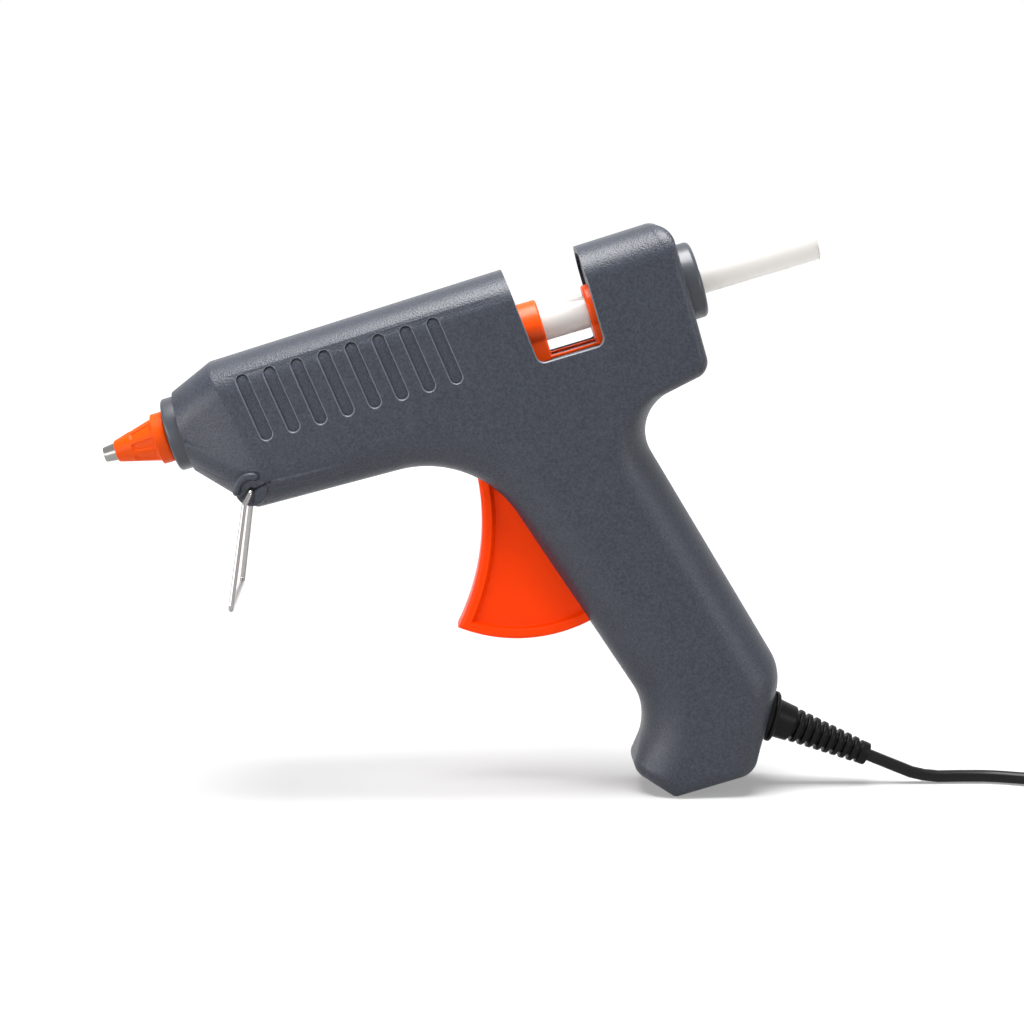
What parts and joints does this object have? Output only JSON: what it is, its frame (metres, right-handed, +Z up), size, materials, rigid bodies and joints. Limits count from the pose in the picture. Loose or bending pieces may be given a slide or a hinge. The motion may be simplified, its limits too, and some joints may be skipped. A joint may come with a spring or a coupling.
{
  "type": "hot glue gun",
  "caption": "Pistol-type hot glue gun on the tip of its grip, with feed trigger, carriage, glue stick, heated nozzle, fold-out wire stand and mains cord.",
  "frame": {"origin": "under the middle of the gun's length, at the height of the grip's lowest corner, in the parting plane of the two shells", "axes": "+Z up; +X along the gun from the nozzle towards the stick inlet, level; +Y to the far side as pictured"},
  "size_m": [0.4903, 0.0711, 0.1994],
  "materials": {
    "housing": "fine grained",
    "collar": "smooth",
    "orange": "satin",
    "steel": "bright",
    "zinc": "cast",
    "brass": "machined",
    "tip": "polished",
    "rubber": "matt",
    "silicone": "matt",
    "mica": "pressed board",
    "ceramic": "fired ceramic",
    "glue": "milky, see-through",
    "brown": "insulation",
    "blue": "insulation"
  },
  "bodies": {
    "body": {"housing_left": "housing", "housing_right": "housing", "nozzle_collar": "collar", "rear_collar": "collar", "nozzle_sleeve": "orange", "nozzle": "tip", "melt_chamber": "zinc", "front_support": "mica", "rear_support": "mica", "inlet_sleeve": "silicone", "sleeve_clamp": "steel", "ptc_heater": "ceramic", "heater_electrodes": "brass", "heater_clip": "steel", "trigger_pin": "steel", "return_spring": "steel", "housing_screws": "steel", "cord_gland": "rubber", "cord_clamp": "rubber", "clamp_screws": "steel", "inner_cord": "rubber", "live_lead": "brown", "neutral_lead": "blue", "lead_crimps": "brass", "mains_cord": "rubber", "cord_coil": "rubber", "cord_tie": "rubber", "plug_lead": "rubber", "plug_body": "rubber", "plug_pins": "steel"},
    "trigger": {"trigger": "orange", "link_pin": "steel"},
    "carriage": {"carriage": "orange", "stick_gripper": "steel"},
    "stand": {"wire_stand": "steel"},
    "stick": {"glue_stick": "glue"}
  },
  "joints": [
    {"name": "trigger_squeeze", "type": "hinge", "parent": "body", "child": "trigger", "pos_m": [0.00862, 0, 0.11027], "axis": [0, -1, 0], "range_deg": [0, 22], "stiffness_Nm_per_rad": 0.6, "springref_deg": -17.19},
    {"name": "carriage_feed", "type": "slide", "parent": "body", "child": "carriage", "axis": [-0.9593, 0, -0.2823], "range_m": [0, 0.01197]},
    {"name": "stick_feed", "type": "slide", "parent": "body", "child": "stick", "axis": [-0.9593, 0, -0.2823], "range_m": [0, 0.042]},
    {"name": "stand_swing", "type": "hinge", "parent": "body", "child": "stand", "pos_m": [-0.08281, 0, 0.10994], "axis": [0, -1, 0], "range_deg": [-30, 96]}
  ],
  "couplings": [
    {"joint": "carriage_feed", "follows": "trigger_squeeze", "m_per_rad": 0.031184}
  ]
}
